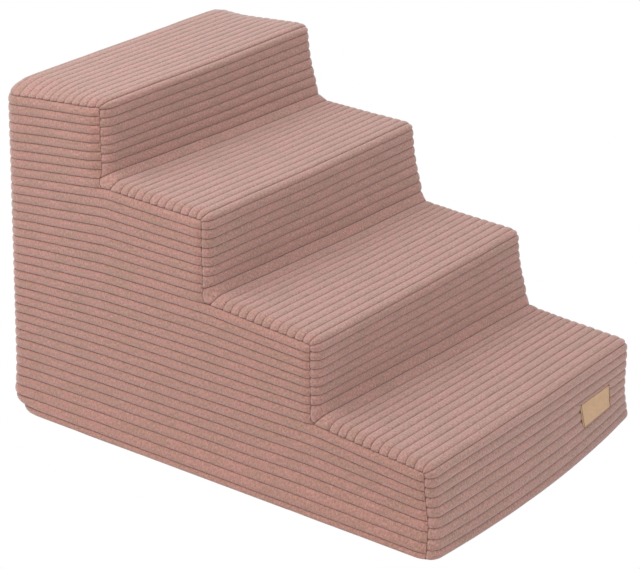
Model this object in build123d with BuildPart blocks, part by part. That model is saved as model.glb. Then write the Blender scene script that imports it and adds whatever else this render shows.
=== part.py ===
from build123d import *
import os

# Foam pet stairs in a corduroy cover that zips off, in millimetres.
# +Z is up and the pet climbs along +Y, from the lowest step at -Y to the tall back at +Y.
# The origin is the centre of the footprint, on the floor.

# Stairs
step_count = 4
tread_depth = 150.0
overall_width = 400.0
overall_height = 400.0

# Corduroy: flat-topped ribs, the wales, with narrow grooves between them
cover_thickness = 4.0
wale_pitch = 11.1
groove_depth = 2.2
groove_width = 2.2

# Shape of the stuffed cover
nosing_radius = 12.0
inner_corner_radius = 18.0
edge_radius = 9.0
rear_corner_radius = 24.0
base_cloth_thickness = 2.0
crest_ease = 0.05

# Foam slabs: the gap at the back leaves room for the zip
foam_back_gap = 2.0
foam_nosing_chamfer = 9.0
foam_edge_chamfer = 6.0
foam_rear_chamfer = 21.0

# Zip round the flap in the back: its centre line is placed from the back's edges
zip_side_inset = 34.0
zip_floor_inset = 28.0
zip_corner_radius = 36.0
zip_opening_half_width = 5.0
lower_band_half_width = 120.0
tape_width = 10.0
tape_thickness = 0.6
coil_gap = 0.6
coil_width = 2.6
coil_thickness = 2.2
coil_edge = 0.6

# Zip stops
stop_width = 3.0
stop_height = 4.0
stop_thickness = 2.5
stop_edge = 0.4
stop_below_seam = 3.0

# Zip slider
slider_length = 11.0
slider_width = 9.0
slider_corner_radius = 2.5
slider_plate = 1.4
slider_under_plate = 1.0
slider_flange = 0.7
slider_post_width = 0.6
slider_post_length = 5.0
slider_stop_gap = 0.5
slider_edge = 0.3
bridge_length = 9.0
bridge_width = 2.4
bridge_leg = 1.0
bridge_bar = 0.8
bridge_corner_radius = 0.7
running_gap = 0.3

# Zip pull
pull_bar_diameter = 1.2
pull_arm_gap = 0.4
pull_arm_width = 1.4
pull_eye_length = 5.5
pull_shoulder_height = 3.0
pull_tab_length = 24.0
pull_tab_width = 8.0
pull_tab_end_width = 5.5
pull_tab_corner_radius = 2.0
pull_hole_radius = 1.3
pull_hole_from_end = 4.0

# Label: bare leatherette, pressed into the lowest riser
label_width = 66.0
label_height = 26.0
label_thickness = 1.2
label_sunk = 1.0
label_corner_radius = 1.5
label_edge = 0.3
label_from_right = 83.5
label_centre_height = 50.0

# How far a cutting shape runs past what it cuts
overrun = 5.0

# Places worked out from the sizes above
overall_length = step_count * tread_depth
slab_thickness = (overall_height - base_cloth_thickness - cover_thickness) / step_count
half_width = overall_width / 2
inner_half_width = half_width - cover_thickness
front, back = -overall_length / 2, overall_length / 2
inner_back = back - cover_thickness
foam_back = inner_back - foam_back_gap
seam_height = overall_height - edge_radius
zip_half_width = half_width - zip_side_inset
tape_face = inner_back + tape_thickness
coil_face = tape_face + coil_thickness
coil_top = seam_height - stop_below_seam - stop_height


def riser_place(step):
    """Y of the riser that leads up to tread number step, counted from 0 at the lowest."""
    return front + step * tread_depth


def tread_height(step):
    """Z of the top of a tread: the base cloth, the foam slabs below it and the cover."""
    return base_cloth_thickness + (step + 1) * slab_thickness + cover_thickness


def stepped_corners(inset, rear):
    """Corners of the stepped profile in Y and Z, moved in by inset, from the foot to the rear edge."""
    corners = [(front + inset, 0)]
    for step in range(step_count):
        corners.append((riser_place(step) + inset, tread_height(step) - inset))
        corners.append((riser_place(step + 1) + inset, tread_height(step) - inset))
    corners[-1] = (rear, tread_height(step_count - 1) - inset)
    return corners


def stepped_radii(inset):
    """Radius at each corner of the profile: nosings bulge out, the corners between them curve in."""
    pair = [nosing_radius - inset, inner_corner_radius + inset]
    return (pair * step_count)[:-1]


def seam_block(inner_edge):
    """Everything inside the side seams, from inner_edge out past the left side."""
    with BuildPart() as block:
        with BuildSketch(Plane.YZ.offset(inner_edge)):
            with BuildLine():
                rear = back + overrun
                Polyline(*stepped_corners(edge_radius, rear), (rear, 0), close=True)
            make_face()
        extrude(amount=-(half_width + overrun + inner_edge))
    return block.part


def rounded_block(inset, ease_rims):
    """The stepped body, moved in by inset everywhere but at the floor, its rims filleted or chamfered."""
    with BuildPart() as block:
        with BuildSketch(Plane.YZ):
            with BuildLine():
                corners = stepped_corners(inset, back - inset)
                top = FilletPolyline(*corners, radius=stepped_radii(inset))
                Polyline(top @ 1, (back - inset, 0), top @ 0)
            make_face()
        extrude(amount=half_width - inset, both=True)
        fillet(block.edges().filter_by(Axis.Z).group_by(Axis.Y)[-1], radius=rear_corner_radius - inset)
        sides = block.faces().filter_by(Axis.X).sort_by(Axis.X)
        rims = sides[0].edges() + sides[-1].edges()
        rims = rims.filter_by(lambda edge: edge.center().Z > crest_ease)
        rims = rims.group_by(lambda edge: round(edge.center().Y))[:-1]
        rims = [edge for group in rims for edge in group]
        rims += block.edges().filter_by(Axis.X).group_by(Axis.Y)[-1].sort_by(Axis.Z)[-1:]
        ease_rims(rims, edge_radius - inset)
    return block.part


def draw_wales(line):
    """Draws wales along a line: half a groove, a flat crest, half a groove, and so on."""
    count = round(line.length / wale_pitch)
    half_groove = groove_width / 2 / line.length
    for wale in range(count):
        start, end = wale / count, (wale + 1) / count
        inward = [groove_depth * (line % place).rotate(Axis.Z, -90) for place in (start, end)]
        Polyline(
            line @ start + inward[0], line @ (start + half_groove),
            line @ (end - half_groove), line @ end + inward[1],
        )


def back_plane(place, centre=0):
    """The upright plane at that Y and X, with X to the right and Z up; shapes grow towards the front."""
    return Plane((centre, place, 0), x_dir=Axis.X.direction, z_dir=-Axis.Y.direction)


def flap_outline(offset, top):
    """The zip's centre line moved out by offset and closed at the top, as a face with X and Z."""
    side = zip_half_width + offset
    floor = zip_floor_inset - offset
    with BuildSketch() as outline:
        with BuildLine():
            rim = FilletPolyline(
                (-side, top), (-side, floor), (side, floor), (side, top), radius=zip_corner_radius + offset
            )
            Line(rim @ 1, rim @ 0)
        make_face()
    return outline.sketch


def zip_strip(inner, outer, low, high, top):
    """A strip that follows the zip, between two offsets from its centre line and two places in Y."""
    with BuildPart() as strip:
        with BuildSketch(back_plane(high)):
            add(flap_outline(outer, top))
            add(flap_outline(inner, top), mode=Mode.SUBTRACT)
        extrude(amount=high - low)
    return strip.part


def write(part, name):
    """Labels a finished piece and writes it as one STEP file."""
    part.label = name
    export_step(part, f"parts/{name}.step")


os.makedirs("parts", exist_ok=True)

# The cover's outside and inside, before it is cut into panels
outside = rounded_block(0, fillet)
inside = rounded_block(cover_thickness, chamfer)

# Label on the lowest riser
with BuildPart() as label:
    with BuildSketch(back_plane(front + label_sunk)):
        with Locations((half_width - label_from_right, label_centre_height)):
            RectangleRounded(label_width, label_height, label_corner_radius)
    extrude(amount=label_thickness)
    chamfer(label.faces().sort_by(Axis.Y)[0].edges(), length=label_edge)

# One strip of corduroy up every riser and over every tread. Its wales run across the stairs and
# end where the strip turns down to the side seams.
with BuildPart() as stair_panel:
    add(outside)
    add(inside, mode=Mode.SUBTRACT)
    add(seam_block(half_width + overrun), mode=Mode.SUBTRACT)
    with BuildSketch(Plane.YZ):
        with Locations((0, overall_height / 2)):
            Rectangle(overall_length + 2 * overrun, overall_height + 2 * overrun)
        with BuildLine(mode=Mode.PRIVATE):
            crest_line = FilletPolyline(
                *stepped_corners(crest_ease, back), radius=stepped_radii(crest_ease)
            )
        with BuildLine() as ribbed:
            draw_wales(crest_line)
            rear_end = ribbed.vertices().sort_by(Axis.X)[-1]
            foot_end = ribbed.vertices().sort_by(Axis.Y)[0]
            Polyline(rear_end, (back, 0), foot_end)
        make_face(mode=Mode.SUBTRACT)
    extrude(amount=half_width - edge_radius, both=True, mode=Mode.SUBTRACT)
    add(label.part, mode=Mode.SUBTRACT)

# Level wales round the two sides and the back: the wall that the side panels and the flap are cut from
with BuildPart() as wall:
    with BuildLine():
        plan = FilletPolyline(
            (-half_width, front), (-half_width, back), (half_width, back), (half_width, front),
            radius=rear_corner_radius,
        )
    with BuildSketch(back_plane(front, -half_width)):
        with BuildLine(mode=Mode.PRIVATE):
            upright = Line((0, 0), (0, overall_height))
        with BuildLine():
            draw_wales(upright)
            Polyline(
                (groove_depth, overall_height), (cover_thickness, overall_height),
                (cover_thickness, 0), (groove_depth, 0),
            )
        make_face()
    sweep(path=plan)

# Zip tapes and coils, which run down one side of the flap, under it and up the other
outer_tape_offset = coil_gap + tape_width
outer_coil_offset = coil_gap + coil_width
with BuildPart() as zip_tape_outer:
    add(zip_strip(coil_gap, outer_tape_offset, inner_back, tape_face, seam_height))
with BuildPart() as zip_tape_inner:
    add(zip_strip(-outer_tape_offset, -coil_gap, inner_back, tape_face, seam_height))
with BuildPart() as zip_coil_outer:
    add(zip_strip(coil_gap, outer_coil_offset, tape_face, coil_face, coil_top))
    chamfer(zip_coil_outer.faces().sort_by(Axis.Y)[-1].outer_wire().edges(), length=coil_edge)
with BuildPart() as zip_coil_inner:
    add(zip_strip(-outer_coil_offset, -coil_gap, tape_face, coil_face, coil_top))
    chamfer(zip_coil_inner.faces().sort_by(Axis.Y)[-1].outer_wire().edges(), length=coil_edge)

# Flap inside the zip
with BuildPart() as back_flap:
    with BuildSketch(back_plane(back + overrun)):
        add(flap_outline(-zip_opening_half_width, seam_height))
    extrude(amount=cover_thickness + 2 * overrun)
    add(wall.part, mode=Mode.INTERSECT)
    add(zip_tape_inner.part, mode=Mode.SUBTRACT)

# The opening that the flap and the zip fill, as a cutting shape
with BuildPart() as zip_opening:
    with BuildSketch(back_plane(back + overrun)):
        add(flap_outline(zip_opening_half_width, overall_height + overrun))
    extrude(amount=cover_thickness + 2 * overrun)

# Side panels, which turn the rear corners and end at the zip and the lower band
with BuildPart() as left_side_panel:
    add(wall.part)
    add(seam_block(-lower_band_half_width), mode=Mode.INTERSECT)
    add(zip_opening.part, mode=Mode.SUBTRACT)
    add(zip_tape_outer.part, mode=Mode.SUBTRACT)
with BuildPart() as right_side_panel:
    add(mirror(left_side_panel.part, about=Plane.YZ, mode=Mode.PRIVATE))

# Lower band between them, under the zip
with BuildPart() as back_lower_band:
    with BuildSketch(back_plane(back + overrun)):
        with Locations((0, (zip_floor_inset - zip_opening_half_width) / 2)):
            Rectangle(2 * lower_band_half_width, zip_floor_inset - zip_opening_half_width)
    extrude(amount=cover_thickness + 2 * overrun)
    add(wall.part, mode=Mode.INTERSECT)
    add(zip_tape_outer.part, mode=Mode.SUBTRACT)

# Base cloth between the walls, which the foam lies on
with BuildPart() as base_panel:
    with BuildSketch() as base_outline:
        Rectangle(2 * inner_half_width, inner_back - front - cover_thickness)
        fillet(base_outline.vertices().group_by(Axis.Y)[0], radius=edge_radius)
        fillet(base_outline.vertices().group_by(Axis.Y)[-1], radius=rear_corner_radius)
    extrude(amount=base_cloth_thickness)

# Foam: a stack of slabs, each one tread shorter than the slab under it
slab_names = ["foam_base_slab", "foam_second_slab", "foam_third_slab", "foam_top_slab"]
foam_slabs = []
for step in range(step_count):
    slab_front = riser_place(step) + cover_thickness
    slab_floor = base_cloth_thickness + step * slab_thickness
    slab_top = slab_floor + slab_thickness
    with BuildPart() as slab:
        with BuildSketch(Plane.YZ):
            with BuildLine():
                Polyline(
                    (slab_front, slab_floor), (slab_front, slab_top - foam_nosing_chamfer),
                    (slab_front + foam_nosing_chamfer, slab_top), (foam_back, slab_top),
                    (foam_back, slab_floor), close=True,
                )
            make_face()
        extrude(amount=inner_half_width, both=True)
        chamfer(slab.edges().filter_by(Axis.Z).group_by(Axis.Y)[-1], length=foam_rear_chamfer)
        sides = slab.faces().filter_by(Axis.X).sort_by(Axis.X)
        rims = (sides[0].edges() + sides[-1].edges()).group_by(lambda edge: round(edge.center().Y))[:2]
        rims.append(slab.faces().sort_by(Axis.Z)[-1].edges().sort_by(Axis.Y)[1:])
        chamfer([edge for group in rims for edge in group], length=foam_edge_chamfer)
    foam_slabs.append(slab.part)

# Stops at the zip's two ends, just under the seam
stop_centre_height = coil_top + stop_height / 2
with BuildPart() as zip_top_stop:
    with BuildSketch(back_plane(tape_face + stop_thickness)):
        with Locations((-zip_half_width, stop_centre_height)):
            with Locations((-coil_gap - stop_width / 2, 0), (coil_gap + stop_width / 2, 0)):
                Rectangle(stop_width, stop_height)
    extrude(amount=stop_thickness)
    chamfer(zip_top_stop.edges().group_by(Axis.Y)[-1], length=stop_edge)
with BuildPart() as zip_bottom_stop:
    with BuildSketch(back_plane(tape_face + stop_thickness)):
        with Locations((zip_half_width, stop_centre_height)):
            Rectangle(2 * (coil_gap + stop_width), stop_height)
    extrude(amount=stop_thickness)
    chamfer(zip_bottom_stop.edges().group_by(Axis.Y)[-1], length=stop_edge)

# Slider, closed at the top of the run at -X: two plates joined by a post that runs between the coils
slider_centre = (-zip_half_width, coil_top - slider_stop_gap - slider_length / 2)
plate_inner = coil_face + running_gap
plate_outer = plate_inner + slider_plate
under_outer = inner_back - running_gap
bridge_inner = plate_outer + pull_bar_diameter + 2 * running_gap
bridge_outer = bridge_inner + bridge_bar
with BuildPart() as zip_slider:
    with BuildSketch(back_plane(plate_outer)):
        with Locations(slider_centre):
            RectangleRounded(slider_width, slider_length, slider_corner_radius)
    extrude(amount=plate_outer - tape_face - running_gap)
    with BuildSketch(back_plane(plate_inner)):
        with Locations(slider_centre):
            Rectangle(slider_width - 2 * slider_flange, slider_length + 2 * overrun)
    extrude(amount=plate_inner - inner_back, mode=Mode.SUBTRACT)
    with BuildSketch(back_plane(under_outer)):
        with Locations(slider_centre):
            RectangleRounded(slider_width, slider_length, slider_corner_radius)
    extrude(amount=slider_under_plate)
    chamfer(zip_slider.edges().group_by(Axis.Y)[-1], length=slider_edge)
    with BuildSketch(back_plane(plate_inner)):
        with Locations(slider_centre):
            with Locations((0, (slider_length - slider_post_length) / 2 - slider_corner_radius / 2)):
                Rectangle(slider_post_width, slider_post_length)
    extrude(amount=plate_inner - under_outer)
    with BuildSketch(Plane.YZ.offset(slider_centre[0])):
        with Locations(((plate_outer + bridge_outer) / 2, slider_centre[1])):
            Rectangle(bridge_outer - plate_outer, bridge_length)
        with Locations(((plate_outer + bridge_inner) / 2, slider_centre[1])):
            Rectangle(bridge_inner - plate_outer, bridge_length - 2 * bridge_leg, mode=Mode.SUBTRACT)
    extrude(amount=bridge_width / 2, both=True)
    fillet(zip_slider.edges().filter_by(Axis.X).group_by(Axis.Y)[-1], radius=bridge_corner_radius)

# Pull, hanging from the bridge: a bar under the bridge, two arms beside it and the tab
pull_radius = pull_bar_diameter / 2
pull_axis = plate_outer + running_gap + pull_radius
eye_half_width = bridge_width / 2 + pull_arm_gap
pull_half_width = eye_half_width + pull_arm_width
eye_floor = slider_centre[1] - pull_eye_length
shoulder = eye_floor - pull_shoulder_height
tab_end = eye_floor - pull_tab_length
with BuildPart() as zip_pull:
    with BuildSketch(Plane.YZ.offset(slider_centre[0])):
        with Locations((pull_axis, slider_centre[1])):
            Circle(pull_radius)
    extrude(amount=pull_half_width, both=True)
    with BuildSketch(back_plane(pull_axis + pull_radius, slider_centre[0])) as pull_outline:
        with BuildLine():
            left = Polyline(
                (-pull_half_width, slider_centre[1]), (-pull_half_width, eye_floor),
                (-pull_tab_width / 2, shoulder), (-pull_tab_end_width / 2, tab_end), (0, tab_end),
            )
            mirror(left, about=Plane.YZ)
            Line((-pull_half_width, slider_centre[1]), (pull_half_width, slider_centre[1]))
        make_face()
        fillet(pull_outline.vertices().group_by(Axis.Y)[0], radius=pull_tab_corner_radius)
        with Locations((0, tab_end + pull_hole_from_end)):
            Circle(pull_hole_radius, mode=Mode.SUBTRACT)
        with Locations((0, slider_centre[1] - pull_eye_length / 2)):
            Rectangle(2 * eye_half_width, pull_eye_length, mode=Mode.SUBTRACT)
    extrude(amount=pull_bar_diameter)

for panel, name in (
    (stair_panel, "stair_panel"),
    (left_side_panel, "left_side_panel"),
    (right_side_panel, "right_side_panel"),
    (back_flap, "back_flap"),
    (back_lower_band, "back_lower_band"),
    (base_panel, "base_panel"),
    (label, "label"),
    (zip_tape_outer, "zip_tape_outer"),
    (zip_tape_inner, "zip_tape_inner"),
    (zip_coil_outer, "zip_coil_outer"),
    (zip_coil_inner, "zip_coil_inner"),
    (zip_top_stop, "zip_top_stop"),
    (zip_bottom_stop, "zip_bottom_stop"),
    (zip_slider, "zip_slider"),
    (zip_pull, "zip_pull"),
):
    write(panel.part, name)
for slab, name in zip(foam_slabs, slab_names):
    write(slab, name)
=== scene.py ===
import math

import bmesh
import bpy
from bpy.props import FloatProperty, FloatVectorProperty, IntProperty, PointerProperty
from mathutils import Matrix, Vector, noise
from mathutils.kdtree import KDTree


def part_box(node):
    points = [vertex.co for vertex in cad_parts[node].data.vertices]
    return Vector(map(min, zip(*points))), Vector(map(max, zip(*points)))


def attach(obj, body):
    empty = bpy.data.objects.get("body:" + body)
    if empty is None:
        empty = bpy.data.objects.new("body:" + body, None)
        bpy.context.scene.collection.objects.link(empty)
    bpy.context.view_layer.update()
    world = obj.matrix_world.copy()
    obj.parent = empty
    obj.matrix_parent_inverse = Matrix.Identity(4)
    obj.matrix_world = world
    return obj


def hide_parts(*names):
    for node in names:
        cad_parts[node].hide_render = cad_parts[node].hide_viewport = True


bl_info = {
    "name": "Corduroy Pet Stairs",
    "version": (1, 0, 0),
    "blender": (4, 5, 0),
    "location": "View3D > Sidebar > Pet Stairs",
    "description": "Dresses foam pet stairs in wide corduroy that zips off at the back",
    "category": "Add Mesh",
}

# The frame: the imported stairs, whose sizes everything below follows
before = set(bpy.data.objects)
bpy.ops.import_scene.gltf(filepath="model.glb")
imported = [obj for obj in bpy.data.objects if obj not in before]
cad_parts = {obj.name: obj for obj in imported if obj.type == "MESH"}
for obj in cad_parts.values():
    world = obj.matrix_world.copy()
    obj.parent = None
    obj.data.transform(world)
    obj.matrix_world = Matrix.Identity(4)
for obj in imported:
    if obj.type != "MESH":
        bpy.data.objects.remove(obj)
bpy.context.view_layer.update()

MM = 0.001
X_AXIS, Y_AXIS, Z_AXIS = Vector((1, 0, 0)), Vector((0, 1, 0)), Vector((0, 0, 1))
SLABS = ("foam_base_slab", "foam_second_slab", "foam_third_slab", "foam_top_slab")
strip_low, strip_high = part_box("stair_panel")
flap_low, flap_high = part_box("back_flap")
band_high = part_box("back_lower_band")[1]
tape_low, tape_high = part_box("zip_tape_outer")
inner_tape_low, inner_tape_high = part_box("zip_tape_inner")
coil_low, coil_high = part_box("zip_coil_outer")
label_low, label_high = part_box("label")
base_low, base_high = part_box("base_panel")
slab_low, slab_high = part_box(SLABS[0])

# Stairs
STEPS = len(SLABS)
FRONT, BACK = strip_low.y, flap_high.y
HALF_WIDTH, HEIGHT = strip_high.x, strip_high.z
TREAD = (BACK - FRONT) / STEPS
RISE = slab_high.z - slab_low.z
COVER = slab_low.y - FRONT
FIRST_TREAD = slab_high.z + COVER

# Stuffed shape. A reach is how far a swell or a dip runs: see bell().
FOOT_BULGE_CENTRE = -80 * MM
FOOT_BULGE_FALL = 1.28
FOOT_BULGE_REACH_UP, FOOT_BULGE_REACH_IN = 55 * MM, 40 * MM
SIDE_BULGE_CHANGE = 3 * MM
SIDE_BULGE_REACH = 30 * MM
CORNER_LEAN = 0.65
CORNER_REACH = 45 * MM
TOP_PINCH_REACH = 16 * MM
REAR_CORNER_REACH = 25 * MM
REAR_CORNER_DROOP_REACH = 22 * MM
REAR_TUCK_REACH = 11 * MM
# Where the narrowing of the sides passes into that of the back, ahead of the back
REAR_START, REAR_RUN = 60 * MM, 50 * MM

# Corduroy. Flatness 2 rounds a wale evenly, and more flattens its crest. The two tints scale each colour
# of the pile, which lies one way on the strip and turned on the other panels: a painted sheen on the
# strip, paler and bluer, and painted shade on the other panels, darker and redder.
FLATNESS = 2.15
WALE_FACETS = 8
DRIFT, DRIFT_REACH = 0.5 * MM, 14 * MM
STRIP_SHEEN_TINT = (1.0, 1.01, 1.04)
PANEL_SHADE_TINT = (0.975, 0.93, 0.925)

# Panels: the cloth turned in at a seam, the share of its rectangle that a side panel's steps leave,
# and how far from a riser's seam, the band's end and the flap's edge the mesh is cut, in millimetres
SEAM_ALLOWANCE = 4 * MM
SIDE_SHARE = 0.655
RIM_STEP = 2.5 * MM
RISER_CUTS = (0.8, 1.8, 3.2, 5, 7.5, 11, 16)
BAND_CUTS = (0.6, 1.4, 2.6, 4)
FLAP_CUTS = (0.6, 1.4, 2.4, 4, 7)

# Zip: its round lower corners, from the flap's edge over the centre line to the cover's edge
FLAP_RADIUS, ZIP_RADIUS, OPENING_RADIUS = 31 * MM, 36 * MM, 41 * MM
ZIP_EDGE = tape_high.x - 5.6 * MM
ZIP_FLOOR_RUN = ZIP_EDGE - OPENING_RADIUS
ZIP_GAP = 0.6 * MM
COIL_PITCH = 1.5 * MM
# A coil's loop: the share of its length, and its height and breadth there
COIL_SECTIONS = (
    (0.0, 0.55, 0.26), (0.12, 0.95, 0.46), (0.3, 1.0, 0.4), (0.7, 0.92, 0.26), (1.0, 0.5, 0.24)
)

# Base cloth and label. A dot's rings are its height, as a share, and its radius in millimetres. A
# stitch's rings are the place along it and its radius, both in millimetres.
BASE_INSET = 3 * MM
BASE_THREADS = 1.4 * MM
DOT_HEIGHT = 0.8 * MM
DOT_SPACING = 20 * MM
DOT_RINGS = ((0, 1.7), (0.35, 2.4), (1, 2.6), (1.3, 2.6))
LABEL_PRESS = 1.3 * MM
LABEL_SEAM = 1.5 * MM
STITCH_PITCH = 2.6 * MM
LIGHT_SIZE = 1.6
STITCH_RINGS = ((-1.2, 0.2), (-0.9, 0.4), (0, 0.5), (0.9, 0.4), (1.2, 0.2))


def a_length(name, description, size, **limits):
    """A length that a user may change, with its default in millimetres."""
    return FloatProperty(
        name=name, description=description, default=size * MM, unit="LENGTH", precision=4, **limits
    )


def a_colour(name, description, value):
    """A colour that a user may change."""
    return FloatVectorProperty(
        name=name, description=description, subtype="COLOR", size=3, min=0, max=1, default=value
    )


def an_angle(name, description, degrees):
    """An angle that a user may change."""
    return FloatProperty(
        name=name, description=description, default=math.radians(degrees), subtype="ANGLE"
    )


class StairSizes(bpy.types.PropertyGroup):
    """Sizes of the soft cover that a user may change."""

    wale_relief: a_length("Wale relief", "Height of a wale over the grooves beside it", 3, min=0)
    strip_wale: a_length("Strip wale", "Width of one wale on the strip over the treads", 11.1, min=MM)
    wales_per_rise: IntProperty(
        name="Wales per rise", description="Level wales on the sides from one tread to the next",
        default=9, min=1,
    )
    edge_radius: a_length(
        "Edge radius", "Radius at which the strip turns down to the side seams", 15, min=0
    )
    seam_drop: a_length("Seam drop", "How far below a tread its side seam lies", 9, min=0)
    seam_pinch: a_length("Seam pinch", "How deep a seam pulls the cloth in", 2, min=0)
    nosing_radius: a_length("Nosing radius", "Radius of the front edge of each tread", 12, min=0)
    inner_corner_radius: a_length(
        "Inner corner radius", "Radius of the cloth between a tread and the riser behind it", 18, min=0
    )
    rear_corner_radius: a_length(
        "Rear corner radius", "Radius of the two upright corners at the back", 20, min=0
    )
    foot_radius: a_length(
        "Foot radius", "Radius at which the cloth turns in under the stairs", 3, min=0
    )
    cloth_thickness: a_length("Cloth thickness", "Thickness of the corduroy in a groove", 1.2, min=0)
    top_narrowing: a_length(
        "Top narrowing", "How much narrower each side is at the top, and wider at the floor", 8.1
    )
    left_narrowing: a_length(
        "Left narrowing", "How much narrower the left half is than the right one", 6
    )
    side_foot_bulge: a_length(
        "Side foot bulge", "How far the sides swell out just over the floor", 10
    )
    front_foot_bulge: a_length(
        "Front foot bulge", "How far the lowest riser swells out just over the floor", 21.5
    )
    step_lift: a_length(
        "Step lift", "How far the treads and the back stand higher than the foam is cut", 8
    )
    left_lift: a_length("Left lift", "How much higher the treads stand at their left end", 3.5)
    nosing_droop: FloatVectorProperty(
        name="Nosing droop", description="How far the front edge of each tread hangs, from the lowest up",
        size=4, default=(15 * MM, 12 * MM, 6 * MM, 9 * MM), unit="LENGTH", precision=4,
    )
    corner_forward: a_length(
        "Corner forward", "How far the foot of a riser stands forward on the tread below", 8
    )
    corner_sharpness: FloatProperty(
        name="Corner sharpness",
        description="2 for a round bend of the side seam there, more for a tighter one",
        default=9, min=2,
    )
    rear_droop: a_length("Rear droop", "How far the top hangs down at the back", 8)
    rear_tilt: a_length("Rear tilt", "How much more it hangs on the right, and less on the left", 4.5)
    rear_corner_droop: a_length("Rear corner droop", "How much more its two corners hang down", 11)
    rear_fullness: a_length(
        "Rear fullness", "How far the upright corners at the back are stuffed out", 3
    )
    rear_tuck: a_length("Rear tuck", "How far those corners are drawn in at the floor", 18)
    top_pinch: a_length("Top pinch", "How far the sides curve in towards the highest riser", 6)


class StairLook(bpy.types.PropertyGroup):
    """Colours of the stairs' finishes."""

    pile: a_colour("Pile", "Colour of the corduroy's pile", (0.47, 0.257, 0.208))
    pile_pink: a_colour("Pink pile", "Colour of the pinker streaks in the pile", (0.481, 0.247, 0.206))
    pile_tan: a_colour("Tan pile", "Colour of the browner streaks in the pile", (0.455, 0.262, 0.198))
    # The groove colour is the ground cloth darkened by painted shade, and it also colours the seams.
    groove: a_colour("Groove", "Colour of the ground cloth between two wales", (0.23, 0.088, 0.062))
    label: a_colour("Label", "Colour of the leatherette label", (0.79, 0.505, 0.292))
    base_cloth: a_colour("Base cloth", "Colour of the cloth underneath", (0.035, 0.033, 0.034))
    zip: a_colour("Zip", "Colour of the zip's tapes and coils", (0.37, 0.2, 0.17))
    thread: a_colour("Thread", "Colour of the sewing thread", (0.13, 0.065, 0.045))


class StairStage(bpy.types.PropertyGroup):
    """The camera and the studio light."""

    camera_azimuth: an_angle("Azimuth", "Turn of the view to the left of straight on", -52.12)
    camera_elevation: an_angle("Elevation", "How far the view looks down", 22.18)
    camera_roll: an_angle("Roll", "Turn of the picture about its centre", -0.16)
    camera_place: FloatVectorProperty(
        name="Camera", description="Place of the camera", subtype="TRANSLATION", size=3,
        default=(-1.9199, -1.4937, 1.1524),
    )
    lens: FloatProperty(
        name="Lens", description="Focal length in millimetres on a 36 mm wide picture", default=128.7,
    )
    key_power: FloatProperty(
        name="Key light", description="Power of the large light", default=27, min=0
    )
    fill_power: FloatProperty(
        name="Fill light", description="Power of the second light", default=7, min=0
    )
    sky: FloatProperty(
        name="Sky", description="Strength of the light from all round", default=0.6, min=0
    )


def sizes():
    return bpy.context.scene.stair_sizes


def look():
    return bpy.context.scene.stair_look


# Materials


class Shade:
    """A value on its way through a material. Sums with it add Math nodes."""

    def __init__(self, paint, socket):
        self.paint = paint
        self.socket = socket

    def math(self, operation, *others):
        """The result of a Math node that takes this value first."""
        return self.paint.math(operation, self, *others)

    def __add__(self, other):
        return self.math("ADD", other)

    def __sub__(self, other):
        return self.math("SUBTRACT", other)

    def __rsub__(self, other):
        return self.paint.math("SUBTRACT", other, self)

    def __mul__(self, other):
        return self.math("MULTIPLY", other)

    def __truediv__(self, other):
        return self.math("DIVIDE", other)


class Paint:
    """A material with one Principled surface, which later calls wire up."""

    def __init__(self, name, **constants):
        self.material = bpy.data.materials.new(name)
        self.material.use_nodes = True
        self.tree = self.material.node_tree
        self.surface = self.tree.nodes["Principled BSDF"]
        for socket, value in constants.items():
            self.surface.inputs[socket.replace("_", " ")].default_value = value

    def feed(self, socket, value):
        """Links a value to a socket, or sets it where it is a plain number or colour."""
        if isinstance(value, Shade):
            self.tree.links.new(value.socket, socket)
        elif hasattr(value, "__len__") and len(value) == 3 and len(socket.default_value) == 4:
            socket.default_value = (*value, 1)
        else:
            socket.default_value = value

    def node(self, kind, settings=None, inputs=None, output=0):
        """Adds a node, sets it up and wires its inputs, by name or number."""
        node = self.tree.nodes.new(kind)
        for name, value in (settings or {}).items():
            setattr(node, name, value)
        for name, value in (inputs or {}).items():
            self.feed(node.inputs[name], value)
        return Shade(self, node.outputs[output])

    def math(self, operation, *values):
        return self.node("ShaderNodeMath", {"operation": operation}, dict(enumerate(values)))

    def point(self, x, y, z):
        return self.node("ShaderNodeCombineXYZ", None, {0: x, 1: y, 2: z})

    def place(self):
        """The point of the object, in its own axes."""
        return self.node("ShaderNodeTexCoord", output=3)

    def flat(self):
        """How far along and across its flat cloth a point lies."""
        return self.axes(self.node("ShaderNodeUVMap", {"uv_map": "cloth"}))[:2]

    def axes(self, vector):
        """The three numbers of a vector."""
        first = self.node("ShaderNodeSeparateXYZ", None, {0: vector})
        return [Shade(self, output) for output in first.socket.node.outputs]

    def noise(self, vector, scale=1, detail=2, roughness=0.5):
        return self.node(
            "ShaderNodeTexNoise", None,
            {"Vector": vector, "Scale": scale, "Detail": detail, "Roughness": roughness},
        )

    def cells(self, feature, vector, scale):
        settings, inputs = {"feature": feature}, {"Vector": vector, "Scale": scale}
        return self.node("ShaderNodeTexVoronoi", settings, inputs)

    def spread(self, value, low, high, to_low=0, to_high=1):
        """The value read between low and high, as a share of to_low to to_high."""
        return self.node(
            "ShaderNodeMapRange", {"interpolation_type": "SMOOTHSTEP"},
            {0: value, 1: low, 2: high, 3: to_low, 4: to_high},
        )

    def mix(self, share, first, second, blend="MIX"):
        settings = {"data_type": "RGBA", "blend_type": blend}
        return self.node("ShaderNodeMix", settings, {0: share, 6: first, 7: second}, output=2)

    def colour(self, value):
        self.feed(self.surface.inputs["Base Color"], value)

    def roughness(self, value):
        self.feed(self.surface.inputs["Roughness"], value)

    def bump(self, height, distance, strength=1):
        normal = self.node(
            "ShaderNodeBump", None, {"Strength": strength, "Distance": distance, "Height": height}
        )
        self.feed(self.surface.inputs["Normal"], normal)


def tinted(base, share):
    """A colour made darker or lighter by a share."""
    return [min(1, channel * share) for channel in base]


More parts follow.
